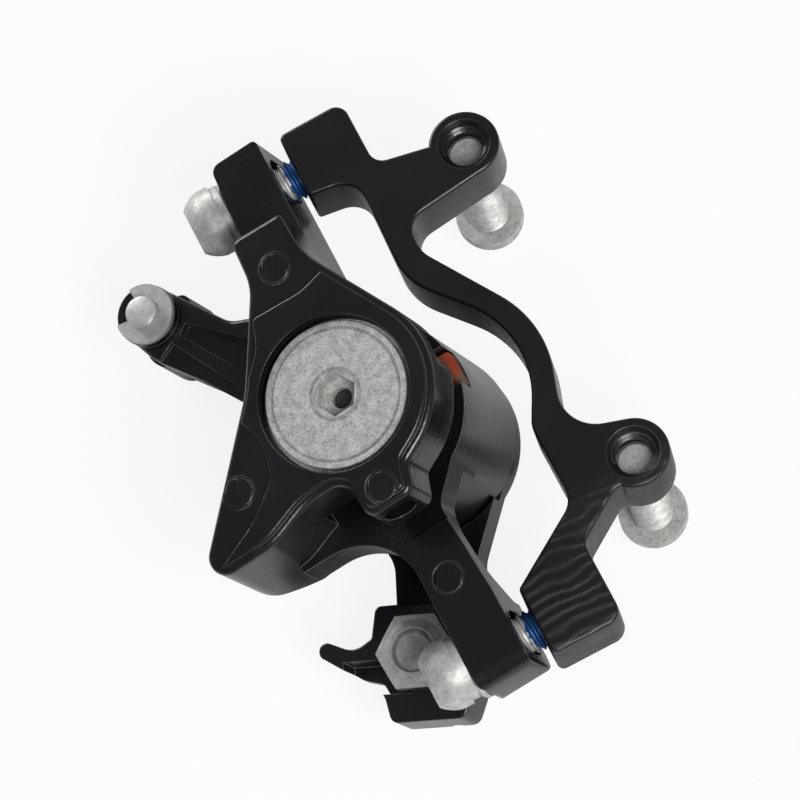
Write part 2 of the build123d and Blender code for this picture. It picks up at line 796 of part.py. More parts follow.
# Ramp plate, spindle and square in one; the arm bolt threads into the end
square_end_level = hub_front_level - square_long
bolt_hole_end = hub_back_level + arm_bolt_reach + fit_clear
with BuildPart() as ramp_spindle:
    with BuildSketch(level(ramp_back_level)):
        Circle(ramp_plate_r)
    extrude(amount=ramp_plate_thick)
    with BuildSketch(level(ramp_back_level)):
        Circle(spindle_r)
    extrude(amount=hub_front_level - ramp_back_level)
    with BuildSketch(level(hub_front_level)):
        Rectangle(square_across, square_across)
    extrude(amount=-square_long)
    with BuildSketch(turning()):
        with Locations((ball_ring_r, ball_level)):
            Circle(ball_r + fit_clear)
    revolve(axis=piston_axis, mode=Mode.SUBTRACT)
    with BuildSketch(level(square_end_level)):
        Circle(arm_bolt_r + fit_clear)
    extrude(amount=bolt_hole_end - square_end_level, mode=Mode.SUBTRACT)

centre_line = turning()
bush_inner = spindle_r + fit_clear
bush_outer = bush_inner + bush_wall
seal_level = -barrel_end + dust_seal_thick
thrust_washer = tube(
    centre_line, bush_outer + fit_clear, ramp_plate_r, bore_end_level, bore_end_level + thrust_thick
)
spindle_bushing = tube(centre_line, bush_inner, bush_outer, seal_level, bore_end_level)
dust_seal = tube(centre_line, bush_inner, dust_seal_r, -barrel_end, seal_level)
piston_seal = tube(
    centre_line,
    piston_r + fit_clear,
    piston_r + seal_deep,
    outer_plate_level - 2 * seal_wide,
    outer_plate_level - seal_wide,
)

# Actuator arm, drawn along its own length: x from the hub to the clamp
arm_frame = Plane(
    origin=piston_frame.origin,
    x_dir=piston_frame.from_local_coords(
        (cos(radians(arm_angle)), sin(radians(arm_angle)), 0)
    )
    - piston_frame.origin,
    z_dir=skew_w,
)
shank_end = clamp_radius - 0.62 * nut_across
shank_rows = [
    (0.40 * hub_r, -0.80 * hub_r, 0),
    (0.87 * hub_r, -0.68 * hub_r, 0),
    (1.25 * hub_r, -0.30 * hub_r, 0.40 * hub_r),
    (shank_end, -0.28 * hub_r, 0),
    (shank_end, 0.68 * hub_r, 0),
    (1.32 * hub_r, 0.63 * hub_r, 0.40 * hub_r),
    (0.40 * hub_r, 0.92 * hub_r, 0),
]
block_shares = [
    (-0.67, -0.53, 0.10),
    (-0.23, -0.59, 0.05),
    (-0.06, -0.85, 0.30),
    (-0.27, -1.36, 0.11),
    (-0.03, -1.36, 0.11),
    (0.27, -0.86, 0.25),
    (0.34, -0.57, 0.10),
    (0.62, -0.40, 0.13),
    (0.96, -0.31, 0.13),
    (0.96, 0.75, 0.155),
    (0.60, 0.88, 0.155),
    (-0.67, 0.88, 0.10),
]
with BuildPart() as actuator_arm:
    with BuildSketch(level(hub_back_level)):
        Circle(hub_r)
    extrude(amount=hub_thick)
    fillet(actuator_arm.edges().filter_by(GeomType.CIRCLE), fit_clear * 6)
    with BuildSketch(arm_frame.offset(-shank_back)):
        with BuildLine():
            outline(shank_rows)
        make_face()
    extrude(amount=shank_back + hub_front_level)
    with BuildSketch(arm_frame.offset(-shank_back)):
        with BuildLine():
            outline(shank_rows)
        make_face()
        Circle(barrel_r + arm_gap, mode=Mode.SUBTRACT)
    extrude(amount=shank_back - shank_front)
    block_frame = Plane(
        origin=arm_frame.from_local_coords((clamp_radius, 0, -block_front)),
        x_dir=arm_frame.x_dir,
        z_dir=skew_w,
    )
    with BuildSketch(block_frame):
        with BuildLine():
            outline(block_shares, nut_across)
        make_face()
    extrude(amount=-block_thick)
    fillet(
        actuator_arm.faces().sort_by(piston_axis)[-1].edges(), fit_clear * 6
    )
    with BuildSketch(block_frame):
        with Locations((0, clamp_side)):
            RegularPolygon(
                nut_across / 2 + nut_play, side_count=6, major_radius=False, rotation=30
            )
        with Locations((0.32 * nut_across, -nut_across / 2)):
            Rectangle(0.48 * nut_across, nut_across)
    extrude(amount=block_floor - block_thick, mode=Mode.SUBTRACT)
    with BuildSketch(level(hub_front_level)):
        Circle(spring_mean_r + 2 * spring_wire_r)
        Circle(spring_mean_r - 2 * spring_wire_r, mode=Mode.SUBTRACT)
    extrude(amount=-3 * spring_wire_r, mode=Mode.SUBTRACT)
    with BuildSketch(level(hub_front_level)):
        with PolarLocations(spring_mean_r, 1, start_angle=arm_angle + 90 + spring_sweep):
            Circle(spring_wire_r + fit_clear)
    extrude(amount=-hub_thick + spring_wire_r, mode=Mode.SUBTRACT)
    with BuildSketch(level(hub_front_level)):
        Rectangle(square_across + fit_clear, square_across + fit_clear)
    extrude(amount=-square_long - fit_clear, mode=Mode.SUBTRACT)
    with BuildSketch(level(hub_front_level)):
        Circle(arm_bolt_r + 2 * fit_clear)
    extrude(amount=-hub_thick, mode=Mode.SUBTRACT)
    with BuildSketch(arm_frame.offset(-block_front)):
        with Locations((clamp_radius, clamp_side)):
            Circle(thread_r + 2 * fit_clear)
    extrude(amount=-block_thick, mode=Mode.SUBTRACT)
    cable_line = arm_frame.from_local_coords(
        (clamp_radius, clamp_side + thread_r + cable_r, -block_front - block_thick)
    )
    with BuildSketch(Plane(origin=cable_line, z_dir=arm_frame.x_dir)):
        Circle(cable_r)
    extrude(amount=2 * clamp_washer_r, both=True, mode=Mode.SUBTRACT)

# Bolt, washer and nut of the cable clamp, and the arm's own bolt and washer
clamp_point = arm_frame.from_local_coords((clamp_radius, clamp_side, 0))
clamp_local = piston_frame.to_local_coords(clamp_point)
clamp_place = turning(clamp_local.X, clamp_local.Y)
block_back = -block_front - block_thick
nut_level = block_back + block_floor
clamp_washer = tube(
    clamp_place, thread_r + 2 * fit_clear, clamp_washer_r, block_back - clamp_washer_thick, block_back
)
clamp_bolt = button_bolt(
    clamp_place,
    clamp_washer_thick - block_back,
    nut_level + nut_thick + point_chamfer,
    thread_r, clamp_head_r, post_head_tip_r, clamp_head_height,
)
with BuildPart() as clamp_nut:
    with BuildSketch(arm_frame.offset(nut_level)):
        with Locations((clamp_radius, clamp_side)):
            RegularPolygon(nut_across / 2, side_count=6, major_radius=False, rotation=30)
    extrude(amount=nut_thick)
    nut_cone = turned(
        clamp_place,
        [
            (0, nut_level),
            (nut_across / sqrt(3), nut_level),
            (nut_across / sqrt(3), nut_level + nut_thick - point_chamfer / 2),
            (nut_across / 2 - point_chamfer / 2, nut_level + nut_thick),
            (0, nut_level + nut_thick),
        ],
    )
    add(nut_cone.part, mode=Mode.INTERSECT)
    with BuildSketch(arm_frame.offset(nut_level)):
        with Locations((clamp_radius, clamp_side)):
            Circle(tapped_r)
    extrude(amount=nut_thick, mode=Mode.SUBTRACT)

arm_bolt_washer = tube(
    centre_line, arm_bolt_r + 2 * fit_clear, arm_washer_r, hub_back_level - arm_washer_thick, hub_back_level
)
arm_bolt = button_bolt(
    centre_line,
    arm_washer_thick - hub_back_level,
    hub_back_level + arm_bolt_reach,
    arm_bolt_r, arm_head_r, post_head_tip_r, arm_head_height,
)

# Return spring: one turn of wire in the arm's hub, a leg in the barrel, a leg in the arm
coil_level = hub_front_level - spring_wire_r - 2 * fit_clear
with BuildPart() as return_spring:
    start_point = (
        spring_mean_r * cos(radians(arm_angle + 90)),
        spring_mean_r * sin(radians(arm_angle + 90)),
    )
    start_radial = piston_frame.from_local_coords((*start_point, 0)) - piston_frame.origin
    start_side = start_radial.cross(piston_frame.z_dir)
    with BuildSketch(Plane(origin=piston_frame.origin, x_dir=start_radial, z_dir=start_side)):
        with Locations((spring_mean_r, coil_level)):
            Circle(spring_wire_r)
    revolve(axis=piston_axis, revolution_arc=spring_sweep)
    with BuildSketch(level(coil_level)):
        with PolarLocations(spring_mean_r, 1, start_angle=arm_angle + 90):
            Circle(spring_wire_r - fit_clear)
    extrude(amount=spring_leg - barrel_end - coil_level)
    with BuildSketch(level(coil_level)):
        with PolarLocations(spring_mean_r, 1, start_angle=arm_angle + 90 + spring_sweep):
            Circle(spring_wire_r - fit_clear)
    extrude(amount=hub_back_level + 2 * spring_wire_r - coil_level)

# Cable stop: a block behind the boss that swivels on its pin, held by a clip
stop_place = turning(stop_u, stop_v)
boss_back = -stop_front - stop_long
block_top = boss_back - fit_clear
pin_low = block_top - pin_press
pin_high = -stop_front + stop_pin_over
clip_low = -stop_front + fit_clear
groove_r = stop_pin_r - clip_groove
stop_pin = turned(
    stop_place,
    [
        (0, pin_low),
        (stop_pin_r, pin_low),
        (stop_pin_r, clip_low),
        (groove_r, clip_low),
        (groove_r, clip_low + clip_thick + fit_clear),
        (stop_pin_r, clip_low + clip_thick + fit_clear),
        (stop_pin_r, pin_high - clip_groove / 2),
        (stop_pin_r - clip_groove, pin_high),
        (0, pin_high),
    ],
)
window_r = 0.48 * (groove_r + clip_r)
with BuildPart() as stop_clip:
    with BuildSketch(level(clip_low)):
        with Locations((stop_u, stop_v)):
            Circle(clip_r)
            Circle(groove_r + fit_clear, mode=Mode.SUBTRACT)
        for turn in (-clip_window_turn, clip_window_turn):
            start = clip_opening + 180 + turn - clip_window_sweep / 2
            window = CenterArc(
                (stop_u, stop_v), window_r, start, clip_window_sweep, mode=Mode.PRIVATE
            )
            SlotArc(window, 0.25 * clip_r, mode=Mode.SUBTRACT)
        gape = radians(clip_gape / 2)
        opening = radians(clip_opening)
        with BuildLine():
            Polyline(
                (stop_u, stop_v),
                (
                    stop_u + 2 * clip_r * cos(opening - gape),
                    stop_v + 2 * clip_r * sin(opening - gape),
                ),
                (
                    stop_u + 2 * clip_r * cos(opening + gape),
                    stop_v + 2 * clip_r * sin(opening + gape),
                ),
                close=True,
            )
        make_face(mode=Mode.SUBTRACT)
    extrude(amount=clip_thick)

housing_level = block_top - housing_drop
stop_block_deep = housing_drop + stop_block_half
with BuildPart() as cable_stop:
    with BuildSketch(level(block_top)):
        with BuildLine():
            outline([
                (stop_u - stop_block_half, stop_v + stop_block_top, stop_block_half * 0.3),
                (stop_u - stop_block_half, stop_v - stop_block_foot, stop_block_half * 0.8),
                (stop_u + stop_block_half, stop_v - stop_block_foot, stop_block_half * 0.4),
                (stop_u + stop_block_half, stop_v + stop_block_top, stop_block_half * 0.3),
            ])
        make_face()
    extrude(amount=-stop_block_deep)
    fillet(
        cable_stop.faces().sort_by(piston_axis)[0].edges(), stop_block_half / 4
    )
    with BuildSketch(level(block_top)):
        with Locations((stop_u, stop_v)):
            Circle(stop_pin_r)
    extrude(amount=-pin_press, mode=Mode.SUBTRACT)
    stop_mouth = piston_frame.from_local_coords(
        (stop_u, stop_v + stop_block_top, housing_level)
    )
    with BuildSketch(Plane(origin=stop_mouth, x_dir=skew_u, z_dir=(0, 1, 0))):
        Circle(housing_r)
    extrude(amount=-housing_deep, mode=Mode.SUBTRACT)
    with BuildSketch(Plane(origin=stop_mouth, x_dir=skew_u, z_dir=(0, 1, 0))):
        Circle(cable_hole_r)
    extrude(amount=-stop_block_top - stop_block_foot, mode=Mode.SUBTRACT)

os.makedirs("parts", exist_ok=True)
for piece, name in (
    (adapter_bracket, "adapter_bracket"),
    (fork_tab_bolts, "fork_tab_bolts"),
    (caliper_bolts, "caliper_bolts"),
    (cup_washers, "cup_washers"),
    (ball_washers, "ball_washers"),
    (caliper_body, "caliper_body"),
    (adjuster_disc, "adjuster_disc"),
    (inner_pad_plate, "inner_pad_plate"),
    (inner_pad_lining, "inner_pad_lining"),
    (outer_pad_plate, "outer_pad_plate"),
    (outer_pad_lining, "outer_pad_lining"),
    (pad_spring, "pad_spring"),
    (piston, "piston"),
    (piston_seal, "piston_seal"),
    (ramp_balls, "ramp_balls"),
    (ball_cage, "ball_cage"),
    (ramp_spindle, "ramp_spindle"),
    (thrust_washer, "thrust_washer"),
    (spindle_bushing, "spindle_bushing"),
    (dust_seal, "dust_seal"),
    (return_spring, "return_spring"),
    (actuator_arm, "actuator_arm"),
    (arm_bolt, "arm_bolt"),
    (arm_bolt_washer, "arm_bolt_washer"),
    (clamp_bolt, "clamp_bolt"),
    (clamp_washer, "clamp_washer"),
    (clamp_nut, "clamp_nut"),
    (stop_pin, "stop_pin"),
    (stop_clip, "stop_clip"),
    (cable_stop, "cable_stop"),
):
    save(piece, name)
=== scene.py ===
import json
import math

import bmesh
import bpy
from mathutils import Matrix, Vector


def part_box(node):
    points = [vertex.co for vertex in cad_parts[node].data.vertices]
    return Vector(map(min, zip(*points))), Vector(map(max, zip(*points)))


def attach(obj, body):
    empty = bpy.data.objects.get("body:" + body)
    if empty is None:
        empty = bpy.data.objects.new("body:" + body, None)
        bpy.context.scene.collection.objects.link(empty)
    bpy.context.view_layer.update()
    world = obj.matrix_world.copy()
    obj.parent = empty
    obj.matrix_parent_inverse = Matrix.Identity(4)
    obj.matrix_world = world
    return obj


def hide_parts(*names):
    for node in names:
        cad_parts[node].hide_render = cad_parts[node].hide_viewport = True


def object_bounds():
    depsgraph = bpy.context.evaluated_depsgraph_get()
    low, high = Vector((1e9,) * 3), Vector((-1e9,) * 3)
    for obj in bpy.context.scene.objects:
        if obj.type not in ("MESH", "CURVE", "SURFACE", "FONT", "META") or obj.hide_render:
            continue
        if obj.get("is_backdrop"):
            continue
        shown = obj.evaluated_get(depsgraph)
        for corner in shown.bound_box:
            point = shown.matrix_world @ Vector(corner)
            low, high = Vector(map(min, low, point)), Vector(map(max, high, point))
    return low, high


bl_info = {
    "name": "Disc brake caliper",
    "version": (1, 0, 0),
    "blender": (4, 5, 0),
    "location": "View3D > Sidebar > Caliper",
    "description": "Finishes, threads and studio of a cable disc brake caliper",
    "category": "Object",
}

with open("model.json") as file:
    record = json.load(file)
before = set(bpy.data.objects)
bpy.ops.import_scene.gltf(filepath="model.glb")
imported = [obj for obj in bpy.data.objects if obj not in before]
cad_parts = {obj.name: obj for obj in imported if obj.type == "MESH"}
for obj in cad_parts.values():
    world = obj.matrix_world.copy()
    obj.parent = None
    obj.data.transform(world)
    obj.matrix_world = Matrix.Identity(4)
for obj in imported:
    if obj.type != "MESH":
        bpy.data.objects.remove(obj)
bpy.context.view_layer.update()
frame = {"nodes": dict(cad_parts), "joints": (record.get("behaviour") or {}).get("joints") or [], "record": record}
MM = 0.001
joints = {joint["name"]: joint for joint in frame["joints"]}
mounts = {mount["name"]: mount for mount in frame["record"]["mounts"]}
slots = {row["node"]: row["material_slot"] for row in frame["record"]["subparts"]}
bracket_low, bracket_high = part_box("adapter_bracket")

# Frame of the caliper: w along the piston, u towards the bracket, v up the bolt line
W_AXIS = -Vector(joints["arm_turn"]["axis"]).normalized()
V_AXIS = Vector((0.0, 1.0, 0.0))
U_AXIS = V_AXIS.cross(W_AXIS)
PISTON_FRAME = Matrix((U_AXIS, V_AXIS, W_AXIS)).transposed().to_4x4()
PISTON_FRAME.translation = Vector(joints["arm_turn"]["pos_m"])
CLAMP_POINT = Vector(mounts["cable_clamp"]["pos_m"])

# Bolts: radius over the thread, and for each bolt a point of its line and the way to its tip
THREAD_R = 3.0 * MM
TAB_Y = mounts["fork_tab_bolts"]["dims"]["spacing_y_mm"] * MM / 2
EAR_SPACING = 74.0 * MM
EAR_MIDDLE_Y = sum(corner.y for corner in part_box("caliper_bolts")) / 2
EAR_YS = (EAR_MIDDLE_Y + EAR_SPACING / 2, EAR_MIDDLE_Y - EAR_SPACING / 2)
TO_BRACKET, UP = Vector((1.0, 0.0, 0.0)), Vector((0.0, 0.0, 1.0))
BOLTED = {
    "caliper_bolts": [(Vector((bracket_low.x, y, bracket_high.z / 2)), TO_BRACKET) for y in EAR_YS],
    "fork_tab_bolts": [(Vector((0.0, y, 0.0)), UP) for y in (TAB_Y, -TAB_Y)],
}

# Ejector marks on the casting: name, place and level in the caliper's frame, in mm
MARKS = (
    ("upper_lobe_mark", 0.60, 20.05, 17.5),
    ("left_lobe_mark", -17.80, -4.46, 17.5),
    ("foot_lobe_mark", -0.09, -14.77, 18.3),
    ("lower_arm_mark", -0.80, -25.75, 5.2),
)

# One turn of thread: where its ridge leaves the root, is full, ends and is back at the root
RIDGE_SHARES = (0.12, 0.44, 0.56, 0.88)
# Points this near to each other are one
WELD = 0.002 * MM
# Faces that meet at more than this stay sharp
SHARP_ANGLE = math.radians(28.0)


def colour_property(name, description, default):
    return bpy.props.FloatVectorProperty(
        name=name, description=description, default=default, subtype="COLOR", min=0.0, max=1.0
    )


def length_property(name, description, default):
    return bpy.props.FloatProperty(
        name=name, description=description, default=default, unit="LENGTH", precision=5
    )


def place_property(name, description, default, size=3):
    return bpy.props.FloatVectorProperty(
        name=name, description=description, default=default, size=size, unit="LENGTH", precision=5
    )


def share_property(name, description, default):
    return bpy.props.FloatProperty(
        name=name, description=description, default=default, min=0.0, max=1.0, subtype="FACTOR"
    )


def angle_property(name, description, degrees):
    return bpy.props.FloatProperty(
        name=name, description=description, default=math.radians(degrees), unit="ROTATION"
    )


class PaintSettings(bpy.types.PropertyGroup):
    """Black paint on the castings and the bracket"""

    colour: colour_property("Paint", "Black of the paint", (0.0045, 0.0045, 0.006))
    # Grey on the edges: partly metal on rubbed edges, partly a painted highlight for light caught by rounded edges
    worn_and_edge_highlight: colour_property("Worn", "Metal that shows on rubbed edges", (0.30, 0.30, 0.30))
    gloss: share_property("Roughness", "Roughness of smooth paint", 0.20)
    bracket_gloss: share_property("Bracket roughness", "Roughness of the bracket", 0.26)
    grain: length_property("Grain", "Size of the orange peel", 1.1 * MM)
    grain_depth: length_property("Grain depth", "Height of the orange peel", 0.035 * MM)
    edge: length_property("Edge", "Rounding of the paint over an edge", 0.18 * MM)
    foot: share_property("Foot", "Share of the bracket's height that is its rippled foot", 0.19)
    foot_fade: length_property("Foot fade", "Way over which the ripples end", 4.0 * MM)
    ripple: length_property("Ripple", "Way between two ripples on the foot", 1.6 * MM)
    ripple_depth: length_property("Ripple depth", "Height of a ripple", 0.09 * MM)


class ThreadSettings(bpy.types.PropertyGroup):
    """Threads of the bolts and of the tapped bosses"""

    pitch: length_property("Pitch", "Pitch of the bolts' threads", 1.0 * MM)
    depth: length_property("Depth", "Height of a thread", 0.5 * MM)
    sink: length_property("Sink", "Length of thread inside the bolt's head", 0.4 * MM)
    room: length_property("Room", "Room between a bolt and the bore of its boss", 0.06 * MM)
    tap_low: length_property("Tap start", "Lowest turn above the bracket's back", 5.3 * MM)
    steps: bpy.props.IntProperty(name="Steps", description="Steps of one turn", default=28)


class NutSettings(bpy.types.PropertyGroup):
    """Collar on the clamp nut"""

    collar_in: length_property("Inside", "Inner radius of the collar", 3.0 * MM)
    collar_out: length_property("Outside", "Outer radius of the collar", 4.9 * MM)
    collar_high: length_property("Height", "Height of the collar", 0.9 * MM)
    collar_sink: length_property("Sink", "Depth of the collar's foot in the nut", 0.3 * MM)
    collar_round: length_property("Rounding", "Rounding of the collar's crest", 0.35 * MM)


class MarkSettings(bpy.types.PropertyGroup):
    """Hatched ejector marks of the casting"""

    radius: length_property("Radius", "Radius of the hatched disc", 2.0 * MM)
    spacing: length_property("Spacing", "Way between two grooves", 0.46 * MM)
    height: length_property("Height", "Height of a ridge", 0.10 * MM)
    turn: angle_property("Turn", "Way of the grooves on the face", -26.6)


class PlatingSettings(bpy.types.PropertyGroup):
    """Zinc plate on the fasteners and the cast zinc disc"""

    zinc: colour_property("Zinc", "Bright part of the plate", (0.60, 0.60, 0.58))
    dull_zinc: colour_property("Dull zinc", "Dull part of the plate", (0.37, 0.37, 0.36))
    # The speck colour is also the dark of the painted shade in the disc's grooves
    speck: colour_property("Speck", "Dark specks in the cast zinc", (0.10, 0.10, 0.10))
    roughness: share_property("Roughness", "Roughness of the plate", 0.45)
    cast_roughness: share_property("Cast roughness", "Roughness of the cast disc", 0.55)
    metal: share_property("Metal", "Share of the metal's shine", 0.45)
    mottle: length_property("Mottle", "Size of the dull patches", 1.4 * MM)
    pit: length_property("Pit", "Size of the pits in the plate", 0.45 * MM)
    cast_pit: length_property("Cast pit", "Size of the pits in the cast disc", 0.32 * MM)
    pit_depth: length_property("Pit depth", "Depth of the pits", 0.03 * MM)
    ring: length_property("Ring", "Way between two turned rings on the disc", 0.45 * MM)
    ring_depth: length_property("Ring depth", "Height of a turned ring", 0.005 * MM)
    hub_groove_r: length_property("Hub groove", "Groove round the disc's socket", 3.5 * MM)
    rim_groove_r: length_property("Rim groove", "Groove near the disc's rim", 9.0 * MM)
    groove_wide: length_property("Groove width", "Half width of a groove's mouth", 0.30 * MM)
    groove_flat: length_property("Groove floor", "Half width of a groove's floor", 0.08 * MM)
    lock_blue: colour_property("Thread lock", "Blue of the thread lock", (0.008, 0.065, 0.20))
    lock_from: length_property("Lock start", "Thread lock's end in the gap", -23.5 * MM)
    lock_to: length_property("Lock end", "Thread lock's end at the bracket", -21.5 * MM)
    lock_ragged: length_property("Lock raggedness", "Reach of the ragged ends", 0.5 * MM)
    lock_fade: length_property("Lock fade", "Way over which the thread lock ends", 0.1 * MM)


class PadSettings(bpy.types.PropertyGroup):
    """Pads in the mouth of the caliper"""

    primer: colour_property("Primer", "Red of the primer on the plates", (0.34, 0.045, 0.018))
    # Dark middle of the plates: painted shade that stands for the dark sight hole and mouth of the caliper
    painted_shade: colour_property("Bare", "Dark middle of the plates", (0.025, 0.02, 0.02))
    painted_shade_r: length_property("Bare radius", "Radius of the dark middle", 9.0 * MM)
    painted_shade_fade: length_property("Bare fade", "Way over which the primer starts", 0.6 * MM)
    lining: colour_property("Lining", "Brown of the lining", (0.15, 0.085, 0.05))
    rub_place: place_property("Rubbed", "Middle of the rubbed patch", (0.0136, -0.0023, 0.0))
    rub_r: length_property("Rubbed radius", "Radius of the patch on the plate's tab", 1.5 * MM)
    rub_fade: length_property("Rubbed fade", "Way over which the rubbed patch ends", 0.2 * MM)
    speck: length_property("Speck", "Size of the specks in the primer", 0.6 * MM)
    speck_depth: length_property("Speck depth", "Height of the specks", 0.05 * MM)


class MetalSettings(bpy.types.PropertyGroup):
    """Bare metal, rubber and friction compound of the smaller pieces"""

    wear: length_property("Wear", "Size of the worn patches on bare metal", 0.8 * MM)
    grain: length_property("Grain", "Size of the grain of bare metal", 0.3 * MM)
    grain_depth: length_property("Grain depth", "Height of the grain", 0.01 * MM)
    lining_grain: length_property("Lining grain", "Size of the lining's grain", 0.5 * MM)
    rubber_grain: length_property("Rubber grain", "Size of the rubber's grain", 0.4 * MM)
    rough_depth: length_property("Rough depth", "Height of the lining's and rubber's grain", 0.1 * MM)


class StageSettings(bpy.types.PropertyGroup):
    """Camera, floor and lamps"""

    camera_place: place_property("Camera", "Place of the camera", (-0.03298, -0.20873, 0.5340))
    view_turn: angle_property("Turn", "Way of the wheel axle across the view", 64.749)
    view_tilt: angle_property("Tilt", "Wheel axle off the view line", 21.351)
    view_roll: angle_property("Roll", "Way of the bolt line across the view", 242.097)
    lens: bpy.props.FloatProperty(name="Lens", description="Focal length in mm", default=188.84)
    sensor: bpy.props.FloatProperty(name="Sensor", description="Sensor width in mm", default=36.0)
    floor_colour: colour_property("Floor", "Pale floor and background", (0.80, 0.80, 0.80))
    floor_white: share_property("White", "Share of plain white in the floor as seen", 0.86)
    floor_reach: length_property("Floor reach", "Half the width of the floor", 3.0)
    floor_gap: length_property("Floor gap", "Way from the part down to the floor", 0.2 * MM)
    sky: bpy.props.FloatProperty(name="Sky", description="Strength of the room light", default=0.22)
    key: bpy.props.FloatProperty(
        name="Key", description="Power of the main softbox", default=4.0, unit="POWER"
    )
    key_place: place_property("Key place", "Main softbox from the part", (0.10, -0.40, 0.52))
    key_size: place_property("Key size", "Sides of the main softbox", (0.30, 0.30), size=2)
    side_share: share_property("Side", "Power of the side softbox as a share of the main one", 0.6)
    side_place: place_property("Side place", "Side softbox from the part", (-0.18, 0.58, 0.20))
    side_size: place_property("Side size", "Sides of the side softbox", (0.40, 0.20), size=2)


def settings(name):
    return getattr(bpy.context.scene, name)


# Materials


class Shader:
    """A node material with one Principled shader and patterns on Object coordinates"""

    # The Mix node has sockets called A, B and Result for each kind of data: these are for colours
    MIX_A, MIX_B, MIX_RESULT = 6, 7, 2
    # At a scale of one the Wave texture's bands lie this far apart
    WAVE_WAY = math.pi / 10.0

    def __init__(self, name):
        self.material = bpy.data.materials.new(name)
        self.material.use_nodes = True
        self.nodes = self.material.node_tree.nodes
        self.links = self.material.node_tree.links
        self.principled = self.nodes["Principled BSDF"]
        self.coordinates = self.nodes.new("ShaderNodeTexCoord").outputs["Object"]

    def link(self, output, socket):
        self.links.new(output, socket)

    def value(self, socket, number):
        """Sets one value of the Principled shader"""
        self.principled.inputs[socket].default_value = number

    def noise(self, size, detail=3.0, roughness=0.5):
        """Cloudy pattern with clouds of about the given size"""
        texture = self.nodes.new("ShaderNodeTexNoise")
        texture.inputs["Scale"].default_value = 1.0 / size
        texture.inputs["Detail"].default_value = detail
        texture.inputs["Roughness"].default_value = roughness
        self.link(self.coordinates, texture.inputs["Vector"])
        return texture.outputs["Fac"]

    def from_frame(self, frame_matrix):
        """Object coordinates as seen in another frame"""
        mapping = self.nodes.new("ShaderNodeMapping")
        back = frame_matrix.inverted()
        mapping.inputs["Location"].default_value = back.translation
        mapping.inputs["Rotation"].default_value = back.to_euler("XYZ")
        self.link(self.coordinates, mapping.inputs["Vector"])
        return mapping.outputs["Vector"]

    def axis_value(self, vector, axis):
        """One coordinate of a vector"""
        node = self.nodes.new("ShaderNodeSeparateXYZ")
        self.link(vector, node.inputs["Vector"])
        return node.outputs[axis]

    def radius(self, vector):
        """Distance from the frame's third axis"""
        flat = self.nodes.new("ShaderNodeVectorMath")
        flat.operation = "MULTIPLY"
        flat.inputs[1].default_value = (1.0, 1.0, 0.0)
        self.link(vector, flat.inputs[0])
        length = self.nodes.new("ShaderNodeVectorMath")
        length.operation = "LENGTH"
        self.link(flat.outputs["Vector"], length.inputs[0])
        return length.outputs["Value"]

    def combine(self, operation, first, second=0.0):
        """A Math node on outputs or plain numbers"""
        node = self.nodes.new("ShaderNodeMath")
        node.operation = operation
        for socket, value in enumerate((first, second)):
            if isinstance(value, bpy.types.NodeSocket):
                self.link(value, node.inputs[socket])
            else:
                node.inputs[socket].default_value = value
        return node.outputs["Value"]

    def waves(self, vector, way, kind="BANDS", distortion=0.0, detail=2.0):
        """Bands or rings that lie the given way apart"""
        node = self.nodes.new("ShaderNodeTexWave")
        node.wave_type = kind
        node.bands_direction = "Y"
        node.rings_direction = "Z"
        node.inputs["Scale"].default_value = self.WAVE_WAY / way
        node.inputs["Distortion"].default_value = distortion
        node.inputs["Detail"].default_value = detail
        self.link(vector, node.inputs["Vector"])
        return node.outputs["Fac"]

    def edge_normal(self, radius):
        """Normal of the surface with its edges rounded"""
        node = self.nodes.new("ShaderNodeBevel")
        node.samples = 6
        node.inputs["Radius"].default_value = radius
        return node.outputs["Normal"]

    def edge_mask(self, rounded):
        """One on an edge, nothing on a flat"""
        geometry = self.nodes.new("ShaderNodeNewGeometry")
        node = self.nodes.new("ShaderNodeVectorMath")
        node.operation = "DOT_PRODUCT"
        self.link(rounded, node.inputs[0])
        self.link(geometry.outputs["Normal"], node.inputs[1])
        return self.spread(node.outputs["Value"], levels=(0.99, 0.86))

    def spread(self, value, levels, gives=(0.0, 1.0)):
        """Stretches the values between two levels to the range that is given"""
        node = self.nodes.new("ShaderNodeMapRange")
        node.inputs["From Min"].default_value, node.inputs["From Max"].default_value = levels
        node.inputs["To Min"].default_value, node.inputs["To Max"].default_value = gives
        self.link(value, node.inputs["Value"])
        return node.outputs["Result"]

    def mix(self, factor, first, second):
        """The first colour where the factor is nothing, the second where it is one"""
        node = self.nodes.new("ShaderNodeMix")
        node.data_type = "RGBA"
        self.link(factor, node.inputs["Factor"])
        for socket, colour in ((self.MIX_A, first), (self.MIX_B, second)):
            if isinstance(colour, bpy.types.NodeSocket):
                self.link(colour, node.inputs[socket])
            else:
                node.inputs[socket].default_value = (*colour, 1.0)
        return node.outputs[self.MIX_RESULT]

    def bump(self, height, depth, under=None):
        """Normal of a relief, laid on another normal where one is given"""
        node = self.nodes.new("ShaderNodeBump")
        node.inputs["Distance"].default_value = depth
        self.link(height, node.inputs["Height"])
        if under is not None:
            self.link(under, node.inputs["Normal"])
        return node.outputs["Normal"]

    def finish(self, colour, normal, roughness=None):
        """Joins the patterns to the Principled shader and gives the material"""
        self.link(colour, self.principled.inputs["Base Color"])
        self.link(normal, self.principled.inputs["Normal"])
        if roughness is not None:
            self.link(roughness, self.principled.inputs["Roughness"])
        return self.material


def shade(colour, share):
    """A colour made lighter or darker"""
    return tuple(share * part for part in colour)


